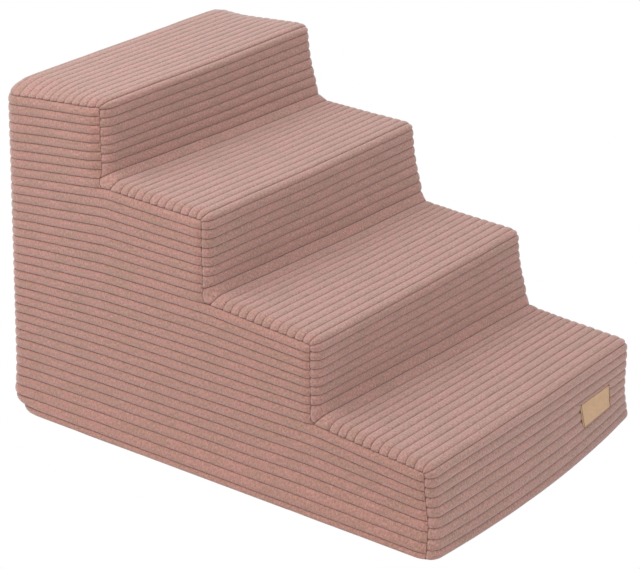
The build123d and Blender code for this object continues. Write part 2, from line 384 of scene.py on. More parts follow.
def corduroy(name, wale, seed, light_tint):
    """Pile corduroy: streaks along each wale, cut tufts across it, and the ground cloth darkened by
    painted shade in the grooves and along the seams.
    """
    paint = Paint(
        name, Roughness=0.95, Specular_IOR_Level=0.12,
        Sheen_Weight=0.7, Sheen_Roughness=0.5, Sheen_Tint=(1.0, 1.0, 1.0, 1.0),
    )
    along, across = paint.flat()
    number = (across / wale).math("FLOOR")
    crest = paint.node("ShaderNodeAttribute", {"attribute_name": "crest"}, output=2)
    streaks = paint.noise(paint.point(along / 0.032, number * 5.3, seed), detail=2.5, roughness=0.6)
    patches = paint.noise(paint.point(along / 0.09, across / 0.06, seed), detail=1.5)
    tufts = paint.noise(paint.point(along / 0.0011, across / 0.0026, seed), detail=1.2)
    specks = paint.noise(paint.point(along / 0.0026, across / 0.0032, seed + 9), detail=1)
    # light_tint scales every colour of the panel: a painted sheen, paler and bluer, on the strip, and
    # painted shade, darker and redder, on the other panels.
    plain, pink, tan, ground_and_shade = (
        [share * channel for share, channel in zip(light_tint, shade)]
        for shade in (look().pile, look().pile_pink, look().pile_tan, look().groove)
    )
    pile = paint.mix(paint.spread(streaks, 0.36, 0.62), tan, pink)
    pile = paint.mix(paint.spread(patches, 0.3, 0.7, 0.25, 0.7), pile, plain)
    tone = paint.spread(tufts, 0.25, 0.75, 0.8, 1.16) * paint.spread(specks, 0.3, 0.7, 0.88, 1.12)
    tone = tone * paint.spread(streaks, 0.3, 0.7, 0.96, 1.05)
    pile = paint.mix(1.0, pile, paint.point(tone, tone, tone), "MULTIPLY")
    # Painted shade: where the crest share is low, in the grooves and along the seams, the pile gives way
    # to the dark groove colour.
    paint.colour(paint.mix(paint.spread(crest, 0.0, 0.5), ground_and_shade, pile))
    paint.bump(tufts * 0.7 + specks * 0.45 + streaks * 0.2, distance=0.0011, strength=0.75)
    return paint.material


def foam_finish():
    """Cut polyurethane foam: pale, with small open cells."""
    paint = Paint("foam", Roughness=0.95, Specular_IOR_Level=0.1)
    cells = paint.cells("SMOOTH_F1", paint.place(), 700.0)
    clouds = paint.noise(paint.place(), scale=9, detail=3)
    pale = paint.mix(paint.spread(clouds, 0.3, 0.7), (0.72, 0.66, 0.5), (0.8, 0.76, 0.62))
    # Painted shade: the foam darkens in the hollows between its raised cells.
    paint.colour(paint.mix(paint.spread(cells, 0.1, 0.8, 0, 0.45), pale, (0.5, 0.44, 0.3)))
    paint.bump(1 - cells, distance=0.0006)
    return paint.material


def base_finish():
    """Plain woven cloth."""
    paint = Paint("base_cloth_weave", Roughness=0.85, Specular_IOR_Level=0.25)
    x, y, _ = paint.axes(paint.place())
    warp, weft = ((axis * 2 * math.pi / BASE_THREADS).math("SINE") for axis in (x, y))
    weave = warp * weft * 0.5 + 0.5
    fibres = paint.noise(paint.place(), scale=900, detail=2)
    dark, light = (tinted(look().base_cloth, share) for share in (0.55, 1.3))
    # Partly painted shade: the cloth darkens where the weave dips between threads, and the fibre noise
    # varies its tone at random.
    paint.colour(paint.mix(weave * 0.6 + fibres * 0.4, dark, light))
    paint.bump(weave + fibres * 0.5, distance=0.0004)
    return paint.material


def leather_finish():
    """Grained leatherette with slight clouds, and painted shade in the hollows of its grain."""
    paint = Paint("label_leatherette", Roughness=0.5, Specular_IOR_Level=0.4)
    grain = paint.cells("DISTANCE_TO_EDGE", paint.place(), 900.0)
    clouds = paint.noise(paint.place(), scale=120, detail=3)
    dark, light, deep = (tinted(look().label, share) for share in (0.93, 1.04, 0.86))
    tone = paint.mix(paint.spread(clouds, 0.3, 0.7), dark, light)
    grain_hollows = paint.spread(grain, 0.0, 0.06)
    # Painted shade: the colour darkens to the deep tone in the grain's hollows.
    paint.colour(paint.mix(grain_hollows, deep, tone))
    paint.roughness(paint.spread(clouds, 0.2, 0.8, 0.45, 0.62))
    paint.bump(grain_hollows + clouds * 0.4, distance=0.00025)
    return paint.material


def tape_finish():
    """Woven zip tape: a herringbone of fine threads."""
    paint = Paint("zip_tape_weave", Roughness=0.8, Specular_IOR_Level=0.3)
    along, across = paint.flat()
    zigzag = (across / 0.0016).math("PINGPONG", 1.0)
    threads = (along / 0.0007 + zigzag).math("FRACT")
    ridge = threads * (1 - threads) * 4
    # Painted shade: each thread darkens towards its edges, where the weave dips between threads.
    paint.colour(paint.mix(ridge, tinted(look().zip, 0.6), look().zip))
    paint.bump(ridge, distance=0.0003)
    return paint.material


def moulded_finish(name, base, roughness):
    """Plastic, rubber or thread: one colour with slight clouds and a fine grain."""
    paint = Paint(name, Specular_IOR_Level=0.4)
    clouds = paint.noise(paint.place(), scale=400, detail=3)
    paint.colour(paint.mix(clouds, tinted(base, 0.85), tinted(base, 1.1)))
    paint.roughness(paint.spread(clouds, 0.2, 0.8, roughness - 0.08, roughness + 0.08))
    paint.bump(clouds, distance=0.00008)
    return paint.material


def metal_finish():
    """Nickel-plated zinc, brushed by use."""
    paint = Paint("zip_nickel", Metallic=1.0)
    x, y, z = paint.axes(paint.place())
    strokes = paint.noise(paint.point(x * 2600, y * 2600, z * 260), detail=3)
    clouds = paint.noise(paint.place(), scale=160, detail=3)
    paint.colour(paint.mix(clouds, (0.5, 0.49, 0.47), (0.72, 0.71, 0.69)))
    paint.roughness(paint.spread(strokes + clouds, 0.7, 1.3, 0.2, 0.42))
    paint.bump(strokes, distance=0.00004)
    return paint.material


# Shapes


class Outline:
    """Straight runs with round corners in a flat view, read by the distance along them."""

    def __init__(self, corners, radii):
        self.parts = []
        points = [Vector(corner) for corner in corners]
        start = points[0]
        for before, corner, after, radius in zip(points, points[1:], points[2:], radii):
            heading = (corner - before).normalized()
            next_heading = (after - corner).normalized()
            bend = math.copysign(heading.angle(next_heading), heading.cross(next_heading))
            reach = radius * math.tan(abs(bend) / 2)
            self.add_run(start, corner - heading * reach)
            self.parts.append((radius * abs(bend), corner - heading * reach, heading, bend))
            start = corner + next_heading * reach
        self.add_run(start, points[-1])
        self.length = sum(part[0] for part in self.parts)

    def add_run(self, start, end):
        run = end - start
        self.parts.append((run.length, start, run.normalized(), 0.0))

    def at(self, distance):
        """The point at that distance, and the heading there. Past either end it runs straight on."""
        for length, start, heading, bend in self.parts:
            if distance <= length:
                break
            distance -= length
        else:
            distance += length
        share = distance / length if length else 0
        if not bend or not 0 <= share <= 1:
            ahead = turned(heading, bend * (share > 1))
            return start + ahead * distance, ahead
        side = math.copysign(length / abs(bend), bend)
        middle = start + turned(heading, math.pi / 2) * side
        return middle + turned(start - middle, bend * share), turned(heading, bend * share)

    def points(self, step):
        """Points along the whole outline, about a step apart round its corners."""
        found = [self.parts[0][1]]
        done = 0.0
        for length, _, _, bend in self.parts:
            count = max(2, math.ceil(length / step)) if bend else 1
            for place in range(1, count + 1):
                found.append(self.at(done + length * place / count)[0])
            done += length
        return found


def turned(vector, angle):
    """A flat vector turned to the left by an angle."""
    across = Vector((-vector.y, vector.x))
    return vector * math.cos(angle) + across * math.sin(angle)


def stepped_outline(drop, rear):
    """The stairs seen from the side, moved in by drop, from the foot of the first riser to the rear."""
    corners = [(FRONT + drop, 0.0)]
    for step in range(STEPS):
        height = FIRST_TREAD + step * RISE - drop
        corners.append((FRONT + step * TREAD + drop, height))
        corners.append((FRONT + (step + 1) * TREAD + drop, height))
    corners[-1] = (rear, corners[-1][1])
    pair = [sizes().nosing_radius - drop, sizes().inner_corner_radius + drop]
    return Outline(corners, (pair * STEPS)[:-1])


def seam_turn():
    """How far the strip has turned over the edge where it reaches the side seam."""
    return math.acos(1 - sizes().seam_drop / sizes().edge_radius)


def seam_depth():
    """How far the bottom of the side seam's crease lies below a tread."""
    return sizes().seam_drop + sizes().seam_pinch * math.cos(seam_turn())


def seam_inset():
    """How far the bottom of the side seam's crease lies in from the side."""
    reach = (sizes().edge_radius - sizes().seam_pinch) * math.sin(seam_turn())
    return sizes().edge_radius - reach


def rise(x, y, z):
    """How far a point of the sharp stairs lies higher on the stuffed ones."""
    size = sizes()
    left_lift = size.left_lift * max(0.0, x) / HALF_WIDTH
    levels = [(0.0, 0.0)]
    for step in range(STEPS):
        back_share = share_of((y - FRONT) / TREAD - step)
        droop = size.nosing_droop[step] * (0.8 - 0.2 * x / HALF_WIDTH) * (1 - back_share)
        levels.append((FIRST_TREAD + step * RISE, size.step_lift + left_lift - droop))
    droop = size.rear_droop - size.rear_tilt * x / HALF_WIDTH + left_lift
    droop += size.rear_corner_droop * bell(abs(x) - HALF_WIDTH, REAR_CORNER_DROOP_REACH)
    seam = HEIGHT - size.seam_drop
    rear_share = share_of((y - FRONT) / TREAD - (STEPS - 1))
    droop *= rear_share * (0.8 + 0.2 * smooth_share((z - seam) / size.seam_drop))
    lift = levels[-1][1]
    for (low, low_lift), (high, high_lift) in zip(levels, levels[1:]):
        if z < high:
            lift = low_lift + (high_lift - low_lift) * (z - low) / (high - low)
            break
    return lift - droop * smooth_share(z / HEIGHT)


def soften(place):
    """Moves a point of the sharp stairs to where it lies on the stuffed ones."""
    x, y, z = place
    size = sizes()
    level = share_of(abs(x) / HALF_WIDTH)
    behind = share_of((abs(x) - ZIP_EDGE) / (HALF_WIDTH - ZIP_EDGE))
    rear = smooth_share((y - (BACK - REAR_START)) / REAR_RUN)
    over_riser = smooth_share((z - (HEIGHT - RISE)) / (10 * MM))
    narrower = size.top_narrowing * (2 * z / HEIGHT - 1) + size.left_narrowing * (x > 0)
    narrower -= (size.side_foot_bulge - SIDE_BULGE_CHANGE * y / BACK) * bell(z, SIDE_BULGE_REACH)
    narrower += size.top_pinch * bell(y - (BACK - TREAD), TOP_PINCH_REACH) * over_riser
    across = (x - FOOT_BULGE_CENTRE) / (HALF_WIDTH - FOOT_BULGE_CENTRE)
    forward = size.front_foot_bulge * (1 - FOOT_BULGE_FALL * across ** 2)
    moved = Vector((
        x - math.copysign(level * (1 - rear) + behind * rear, x) * narrower,
        y - forward * bell(z, FOOT_BULGE_REACH_UP) * bell(y - FRONT, FOOT_BULGE_REACH_IN),
        z + rise(x, y, z),
    ))
    upright = Vector((abs(x) - HALF_WIDTH, y - BACK))
    push = size.rear_fullness - size.rear_tuck * bell(z, REAR_TUCK_REACH)
    push *= bell(upright.length, REAR_CORNER_REACH) * math.sqrt(0.5)
    moved += push * Vector((math.copysign(1, x), 1, 0))
    forward = size.corner_forward * (1 + CORNER_LEAN * x / HALF_WIDTH)
    for step in range(1, STEPS):
        corner = Vector((y - (FRONT + step * TREAD), z - (FIRST_TREAD + (step - 1) * RISE)))
        moved.y -= forward * bell(corner.length, CORNER_REACH)
    return moved


def tighten(point):
    """Moves a point of the side seam's line out to the tighter bends at the inner corners."""
    reach = sizes().inner_corner_radius + seam_depth()
    for step in range(1, STEPS):
        corner = Vector((FRONT + step * TREAD, FIRST_TREAD + (step - 1) * RISE))
        off = (point - corner) + (reach - seam_depth()) * Vector((1, -1))
        if off.x > 0 > off.y and off.length < 2 * reach:
            power = sizes().corner_sharpness
            bend = ((off.x / off.length) ** power + (-off.y / off.length) ** power) ** (1 / power)
            return point + off * (1 / bend - 1)
    return point


def bell(distance, reach):
    """1 at no distance, falling off smoothly to next to nothing at twice the reach."""
    return math.exp(-(distance / reach) ** 2)


def share_of(value):
    """The value held between 0 and 1."""
    return min(1.0, max(0.0, value))


def smooth_share(value):
    """The value held between 0 and 1, and eased at both ends."""
    value = share_of(value)
    return value * value * (3 - 2 * value)


def crease(depth, distance, reach, power=2):
    """How deep a crease is at a distance from its bottom, where it is as deep as depth."""
    return depth * max(0.0, 1 - distance / reach) ** power


def side_pinch(to_seam):
    """How deep the side seam draws in the panel beside it."""
    return crease(seam_inset(), to_seam, 8 * MM, 2.2)


def zip_fold(to_edge):
    """How deep the cloth folds in at its edge beside the zip."""
    return crease(2.4 * MM, to_edge, 3 * MM)


def band_pinch(to_joint):
    """How deep the seam between the lower band and a side panel draws the cloth in."""
    return crease(2 * MM, to_joint, 4 * MM)


def foot_tuck(height):
    """How far the cloth is drawn in at a height above the floor."""
    radius = sizes().foot_radius
    below = max(0.0, radius - height)
    return radius - math.sqrt(max(0.0, radius ** 2 - below ** 2))


def wale_height(across, wale):
    """Height of the corduroy as a share of its relief: 0 in a groove, 1 on a crest."""
    share = across / wale
    off_crest = abs(2 * (share - math.floor(share)) - 1)
    return (1 - off_crest ** FLATNESS) ** (1 / FLATNESS)


def wale_cuts(low, high, wale):
    """Places across the wales between low and high, close together beside each groove."""
    places = []
    for number in range(math.floor(low / wale), math.ceil(high / wale)):
        for facet in range(WALE_FACETS):
            swing = math.cos(math.pi * facet / WALE_FACETS)
            off_crest = math.copysign(abs(swing) ** (2 / FLATNESS), swing)
            places.append((number + (1 - off_crest) / 2) * wale)
    return [place for place in places if low < place < high]


def even_cuts(low, high, step):
    count = max(1, math.ceil((high - low) / step))
    return [low + (high - low) * place / count for place in range(count + 1)]


def slice_cloth(cloth, axis, places):
    """Cuts flat cloth straight across an axis at each place, in order."""
    ahead = cloth.verts[:] + cloth.edges[:] + cloth.faces[:]
    for place in sorted(places):
        cut = bmesh.ops.bisect_plane(
            cloth, geom=ahead, dist=1e-7, plane_co=axis * place, plane_no=axis
        )
        ahead = [piece for piece in cut["geom"] if reaches(piece, axis, place)]


def reaches(piece, axis, place):
    """Whether an element of a mesh lies past a place on an axis."""
    if isinstance(piece, bmesh.types.BMVert):
        return piece.co.dot(axis) > place - 1e-6
    middle = sum((vert.co for vert in piece.verts), Vector()) / len(piece.verts)
    return middle.dot(axis) > place + 1e-7


def add_object(name, data):
    made = bpy.data.objects.new(name, data)
    bpy.context.scene.collection.objects.link(made)
    return made


def add_mesh(name, mesh_work, material):
    """Turns a finished bmesh into an object."""
    mesh = bpy.data.meshes.new(name)
    mesh_work.to_mesh(mesh)
    mesh_work.free()
    mesh.materials.append(material)
    return add_object(name, mesh)


def make_object(name, mesh_work, material):
    """Turns a finished bmesh into a smooth-shaded object on the stairs' body."""
    made = add_mesh(name, mesh_work, material)
    made.data.shade_smooth()
    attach(made, "stairs")
    return made


def box_work(low, high):
    """A bmesh with one box."""
    block = bmesh.new()
    bmesh.ops.create_cube(block, size=1)
    bmesh.ops.transform(block, matrix=Matrix.Diagonal((*(high - low), 1)), verts=block.verts[:])
    bmesh.ops.translate(block, vec=(low + high) / 2, verts=block.verts[:])
    return block


def bevel(mesh_work, edges, offset, segments):
    bmesh.ops.bevel(
        mesh_work, geom=edges, offset=offset, affect="EDGES", segments=segments, profile=0.5, material=-1
    )


def slice_box(mesh_work, axis, low, high, step):
    """Cuts a whole mesh across an axis, evenly between low and high."""
    for place in even_cuts(low.dot(axis), high.dot(axis), step)[1:-1]:
        bmesh.ops.bisect_plane(
            mesh_work, geom=mesh_work.verts[:] + mesh_work.edges[:] + mesh_work.faces[:],
            dist=1e-6, plane_co=axis * place, plane_no=axis,
        )


def closed_rim(corners, radii, step):
    """Points round a closed outline, each only once."""
    points = Outline(corners, radii).points(step)[:-1]
    return [point for index, point in enumerate(points) if index == 0 or point != points[index - 1]]


def corduroy_panel(name, rim, along, wale, place, material):
    """Cuts a panel out of flat corduroy, ribs it and lays it on the stairs.

    The rim and the places along are flat: X runs along the wales and Y across them. The function
    place turns a flat point into its point on the stairs, the way out from there, and how far it
    is from the nearest seam.
    """
    cloth = bmesh.new()
    cloth.faces.new([cloth.verts.new((x, y, 0)) for x, y in rim])
    low, high = min(y for _, y in rim), max(y for _, y in rim)
    slice_cloth(cloth, X_AXIS, along)
    slice_cloth(cloth, Y_AXIS, wale_cuts(low, high, wale))
    bmesh.ops.remove_doubles(cloth, verts=cloth.verts[:], dist=2e-6)
    chart = cloth.loops.layers.uv.new("cloth")
    crest = cloth.verts.layers.float.new("crest")
    way_out = cloth.verts.layers.float_vector.new("way_out")
    for face in cloth.faces:
        for corner in face.loops:
            corner[chart].uv = corner.vert.co.xy
    relief = sizes().wale_relief
    for vert in cloth.verts:
        flat = vert.co.xy
        height = wale_height(flat.y, wale)
        drift = noise.noise(Vector((flat.x / 0.07, flat.y / 0.05, len(name))))
        point, outward, to_seam = place(flat, drift)
        swell = noise.noise(Vector((flat.x / 0.03, math.floor(flat.y / wale), 5)))
        share = 0.5 + 0.5 * smooth_share(to_seam / (3 * MM))
        ribbed = relief * share * ((height - 1) + 0.1 * swell * height)
        fray = noise.noise(point / (3 * MM))
        # The crest share is 0 in a groove and falls to 0 within one to two ragged millimetres of a seam,
        # so the seams take the dark groove colour as painted shade.
        vert[crest] = height * smooth_share(to_seam / ((1.3 + fray) * MM))
        vert.co = soften(point + outward * ribbed)
        vert[way_out] = outward
    cloth.normal_update()
    if sum(face.normal.dot(face.verts[0][way_out]) for face in cloth.faces) < 0:
        bmesh.ops.reverse_faces(cloth, faces=cloth.faces[:])
    rim = [edge for edge in cloth.edges if edge.is_boundary and not all(map(at_zip, edge.verts))]
    for piece in bmesh.ops.extrude_edge_only(cloth, edges=rim)["geom"]:
        if isinstance(piece, bmesh.types.BMVert):
            piece.co -= piece[way_out] * SEAM_ALLOWANCE
            piece.co.z = max(piece.co.z, sizes().cloth_thickness)
            # The turned-in cloth takes the dark groove colour too: painted shade inside the seam.
            piece[crest] = 0
    cloth.verts.layers.float_vector.remove(way_out)
    made = make_object(name, cloth, material)
    shell = made.modifiers.new("thickness", "SOLIDIFY")
    shell.thickness = sizes().cloth_thickness
    shell.offset = -1
    return made


def at_zip(vert):
    """Whether a point of the cloth lies on the zip's edge, where the cloth isn't turned in."""
    place = vert.co
    return place.y > BACK - 10 * MM and abs(place.x) < ZIP_EDGE + MM and 6 * MM < place.z < coil_high.z


class STAIRS_OT_strip(bpy.types.Operator):
    """Lay one strip of corduroy up every riser and over every tread"""

    bl_idname = "pet_stairs.strip"
    bl_label = "Stair Strip"

    def execute(self, context):
        profile = stepped_outline(0, BACK)
        radius, turn = sizes().edge_radius, seam_turn()
        flat_half = HALF_WIDTH - radius
        flat_end = profile.length - radius
        rear_round = sizes().rear_corner_radius - radius
        turn_length = radius * turn
        half, end = flat_half + turn_length, flat_end + turn_length
        rim = closed_rim(
            [(0, 0), (half, 0), (half, end), (-half, end), (-half, 0), (0, 0)],
            [0, rear_round + turn_length, rear_round + turn_length, 0], 3 * MM,
        )
        edge = even_cuts(flat_half, half, 2.4 * MM)
        middle = even_cuts(-flat_half + 6 * MM, flat_half - 6 * MM, 15 * MM)
        along = sorted([-place for place in edge] + middle + edge)[1:-1]

        def place(flat, drift):
            beside = abs(flat.x) - (flat_half - rear_round)
            beyond = flat.y - (flat_end - rear_round)
            if beside > 0 and beyond > 0:
                way = Vector((beside, beyond))
                over = way.length - rear_round
                way.normalize()
            elif beside > beyond:
                way, over = Vector((1, 0)), beside - rear_round
            else:
                way, over = Vector((0, 1)), beyond - rear_round
            way.x = math.copysign(way.x, flat.x)
            over = max(0.0, over)
            angle = over / radius
            reach = radius * math.sin(angle) - over
            point, heading = profile.at(flat.y + way.y * reach + DRIFT * drift)
            up = Vector((0, -heading.y, heading.x))
            ahead = Vector((0, heading.x, heading.y))
            side = Vector((way.x, 0, 0)) + ahead * way.y
            outward = up * math.cos(angle) + side * math.sin(angle)
            to_seam = turn_length - over
            pinch = crease(sizes().seam_pinch, to_seam, 5 * MM)
            spot = Vector((flat.x + way.x * reach, point.x, point.y))
            spot -= up * radius * (1 - math.cos(angle))
            spot -= outward * (pinch + foot_tuck(spot.z) + label_press(spot))
            if way.x:
                seam = point - up.yz * seam_depth()
                pull = (tighten(seam) - seam) * smooth_share(1 - to_seam / (20 * MM))
                spot += Vector((0, *pull))
            return spot, outward, to_seam

        wale = sizes().strip_wale
        cover = corduroy("corduroy_strip", wale, 1.0, STRIP_SHEEN_TINT)
        strip = corduroy_panel("stair_strip", rim, along, wale, place, cover)
        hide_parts("stair_panel")
        return {"FINISHED"}


def label_press(spot):
    """How far the label presses the riser in at a point, fading out round its edge."""
    if spot.y > FRONT + TREAD / 2:
        return 0.0
    beyond = max(
        label_low.x - spot.x, spot.x - label_high.x, label_low.z - spot.z, spot.z - label_high.z
    )
    return LABEL_PRESS * (1 - smooth_share((beyond + 0.5 * MM) / (1.5 * MM)))


def side_seam():
    """The side seam's crease in the flat view of a side panel, as close points."""
    outline = stepped_outline(seam_depth(), BACK + HALF_WIDTH)
    return outline, [tighten(outline.at(place)[0]) for place in even_cuts(0, outline.length, MM)]


class STAIRS_OT_sides(bpy.types.Operator):
    """Cut the two side panels, which turn the rear corners and end at the zip"""

    bl_idname = "pet_stairs.sides"
    bl_label = "Side Panels"

    def execute(self, context):
        outline, seam = side_seam()
        plan = Outline(
            [(-HALF_WIDTH, FRONT), (-HALF_WIDTH, BACK), (0, BACK)], [sizes().rear_corner_radius]
        )
        to_zip = plan.length - ZIP_EDGE
        to_band = plan.length - band_high.x
        wale, shift = level_wales()
        stepped = [tighten(point) - Vector((FRONT, 0)) for point in outline.points(RIM_STEP)]
        rim = [point + Vector((0, shift)) for point in stepped[:-1]]
        low = band_high.z + shift
        rim += Outline(
            [(to_zip, stepped[-1].y + shift), (to_zip, low), (to_band, low)], [OPENING_RADIUS]
        ).points(RIM_STEP)
        rim.append(Vector((to_band, shift)))
        rim = [Vector((max(0.0, point.x), max(shift, point.y))) for point in rim]
        tree = KDTree(len(seam))
        for index, point in enumerate(seam):
            tree.insert((point.x - FRONT, point.y, 0), index)
        tree.balance()
        risers = [step * TREAD + seam_depth() for step in range(STEPS)]
        along = [riser + beside * MM for riser in risers for beside in RISER_CUTS]
        corner = BACK - FRONT - sizes().rear_corner_radius
        corner_end = corner + sizes().rear_corner_radius * math.pi / 2
        along += even_cuts(corner, corner_end, 4 * MM)
        along += even_cuts(corner_end + MM, to_zip, 1.2 * MM) + even_cuts(to_zip, to_band, 6 * MM)[1:-1]
        along += [to_band - beside * MM for beside in BAND_CUTS]
        between = even_cuts(0, corner, 13 * MM)[1:-1]
        along += [place for place in between if min(abs(place - cut) for cut in along) > 4 * MM]
        along = sorted(set(along))

        def place(flat, drift):
            height = flat.y - shift
            _, _, to_seam = tree.find((flat.x, height, 0))
            pinch = side_pinch(to_seam)
            height += DRIFT * drift * smooth_share(to_seam / DRIFT_REACH)
            point, heading = plan.at(flat.x)
            outward = Vector((-heading.y, heading.x, 0))
            spot = Vector((point.x, point.y, height))
            to_edge, to_joint = zip_distance(spot), max(0.0, to_band - flat.x)
            fold = max(zip_fold(to_edge), band_pinch(to_joint))
            spot -= outward * (pinch + foot_tuck(height) + fold)
            return spot, outward, min(to_seam, to_edge, to_joint)

        for side, node in ((1, "left_side_panel"), (-1, "right_side_panel")):
            def mirrored(flat, drift, side=side):
                spot, outward, to_seam = place(flat, drift)
                return Vector((spot.x * side, *spot.yz)), Vector((outward.x * side, *outward.yz)), to_seam

            cover = corduroy(f"corduroy_{node}", wale, 20.0 * side, PANEL_SHADE_TINT)
            panel = corduroy_panel(f"{node}_cloth", rim, along, wale, mirrored, cover)
            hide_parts(node)
            whole = [max(point[axis] for point in rim) + 2 * SEAM_ALLOWANCE for axis in (0, 1)]
            SIDE_SHARE * whole[0] * whole[1]
        return {"FINISHED"}


def level_wales():
    """Width of a level wale, and the shift of its cloth that puts a groove at the lowest side seam."""
    wale = RISE / sizes().wales_per_rise
    lowest = FIRST_TREAD - seam_depth()
    return wale, math.ceil(lowest / wale) * wale - lowest


def zip_distance(spot):
    """How far a point on the back lies outside the opening that the flap fills."""
    if spot.y < BACK - 30 * MM:
        return 1.0
    return abs(past_centre(spot, ZIP_FLOOR_RUN, band_high.z + OPENING_RADIUS) - OPENING_RADIUS)


def past_centre(spot, half, height):
    """How far a point of the back lies past the centre of a round lower corner at that place."""
    off = Vector((abs(spot.x) - half, height - spot.z))
    return off.length if off.x > 0 and off.y > 0 else max(off.x, off.y)


class STAIRS_OT_back(bpy.types.Operator):
    """Cut the flap inside the zip and the band below it"""

    bl_idname = "pet_stairs.back"
    bl_label = "Back Flap And Band"

    def execute(self, context):
        wale, shift = level_wales()
        top = FIRST_TREAD + (STEPS - 1) * RISE - seam_depth()
        half, floor = flap_high.x, flap_low.z
        rim = [point + Vector((0, shift)) for point in closed_rim(
            [(0, floor), (half, floor), (half, top), (-half, top), (-half, floor), (0, floor)],
            [FLAP_RADIUS, 0, 0, FLAP_RADIUS], RIM_STEP,
        )]
        edge = [half - inset * MM for inset in FLAP_CUTS]
        along = [-place for place in edge] + even_cuts(-half + 12 * MM, half - 12 * MM, 14 * MM) + edge

        def place(flat, drift):
            spot = Vector((flat.x, BACK, flat.y - shift))
            to_edge = FLAP_RADIUS - past_centre(spot, half - FLAP_RADIUS, floor + FLAP_RADIUS)
            to_seam = top - spot.z
            spot.z += DRIFT * drift * smooth_share(min(to_seam, to_edge) / DRIFT_REACH)
            spot.y -= side_pinch(to_seam) + zip_fold(to_edge)
            return spot, Y_AXIS, min(to_seam, to_edge)

        cover = corduroy("corduroy_flap", wale, 50.0, PANEL_SHADE_TINT)
        flap = corduroy_panel("back_flap_cloth", rim, along, wale, place, cover)
        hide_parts("back_flap")
        top - floor + SEAM_ALLOWANCE

        band_half, band_top = band_high.x, band_high.z

        def band_place(flat, drift):
            spot = Vector((flat.x, BACK, flat.y - shift))
            to_zip, to_joint = band_top - spot.z, band_half - abs(flat.x)
            spot.y -= max(zip_fold(to_zip), band_pinch(to_joint)) + foot_tuck(spot.z)
            return spot, Y_AXIS, min(to_zip, to_joint)

        corners = ((-band_half, 0), (band_half, 0), (band_half, band_top), (-band_half, band_top))
        rim = [Vector((x, y + shift)) for x, y in corners]
        beside = [(band_half - inset * MM) * side for side in (-1, 1) for inset in BAND_CUTS]
        along = even_cuts(-band_half + 8 * MM, band_half - 8 * MM, 12 * MM) + beside
        band = corduroy_panel("back_lower_band_cloth", rim, along, wale, band_place, cover)
        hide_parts("back_lower_band")
        return {"FINISHED"}


class STAIRS_OT_foam(bpy.types.Operator):
    """Stack the foam slabs inside the cover"""

    bl_idname = "pet_stairs.foam"
    bl_label = "Foam Slabs"

    def execute(self, context):
        finish = foam_finish()
        for name in SLABS:
            low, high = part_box(name)
            ease = Vector((2.5 * MM, 1.5 * MM, 0))
            low, high = low + ease, high - ease
            block = box_work(low, high)
            bevel(block, [edge for edge in block.edges if upright_at(edge, high.y)], 22 * MM, 5)
            bevel(block, [edge for edge in block.edges if edge.calc_face_angle(0) > 0.8], 9 * MM, 4)
            for axis, step in ((X_AXIS, 20 * MM), (Y_AXIS, 20 * MM), (Z_AXIS, 16 * MM)):
                slice_box(block, axis, low, high, step)
            for vert in block.verts:
                vert.co = soften(vert.co)
            slab = make_object(name + "_soft", block, finish)
            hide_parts(name)
        return {"FINISHED"}


def upright_at(edge, y):
    """Whether an edge stands upright at that Y."""
    first, second = (vert.co for vert in edge.verts)
    return abs(first.y - y) < 1e-6 and abs(second.y - y) < 1e-6 and abs(first.x - second.x) < 1e-6


class STAIRS_OT_base(bpy.types.Operator):
    """Make the dark base cloth with its grip dots"""

    bl_idname = "pet_stairs.base"
    bl_label = "Base Cloth"

    def execute(self, context):
        low = base_low + Vector((BASE_INSET, BASE_INSET, DOT_HEIGHT))
        high = base_high - Vector((BASE_INSET, BASE_INSET, 0))
        cloth = bmesh.new()
        rim = Outline(
            [(0, low.y), (high.x, low.y), (high.x, high.y), (low.x, high.y), (low.x, low.y), (0, low.y)],
            [9 * MM, 24 * MM, 24 * MM, 9 * MM],
        ).points(4 * MM)[:-1]
        cloth.faces.new([cloth.verts.new((x, y, low.z)) for x, y in rim])
        slice_cloth(cloth, X_AXIS, even_cuts(low.x, high.x, 30 * MM)[1:-1])
        slice_cloth(cloth, Y_AXIS, even_cuts(low.y, high.y, 30 * MM)[1:-1])
        risen = bmesh.ops.extrude_face_region(cloth, geom=cloth.faces[:])["geom"]
        lifted = [piece for piece in risen if isinstance(piece, bmesh.types.BMVert)]
        bmesh.ops.translate(cloth, vec=(0, 0, high.z - low.z), verts=lifted)
        bmesh.ops.recalc_face_normals(cloth, faces=cloth.faces[:])
        for vert in cloth.verts:
            vert.co = soften(vert.co)
        base = make_object("base_cloth", cloth, base_finish())
        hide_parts("base_panel")
        dots = bmesh.new()
        rows = [
            even_cuts(start + 15 * MM, end - 15 * MM, DOT_SPACING)
            for start, end in ((low.x, high.x), (low.y, high.y))
        ]
        for x in rows[0]:
            for y in rows[1]:
                skin(dots, [self.dot_ring(x, y, *ring) for ring in DOT_RINGS])
        rubber = moulded_finish("grip_rubber", (0.05, 0.05, 0.052), 0.6)
        grip = make_object("base_grip_dots", dots, rubber)
        return {"FINISHED"}

    def dot_ring(self, x, y, height, radius):
        """One ring of points of the grip dot at that place."""
        corners = [turned(Vector((radius * MM, 0)), corner * math.pi / 5) for corner in range(10)]
        return [(soften((x + spot.x, y + spot.y, height * DOT_HEIGHT)), None) for spot in corners]


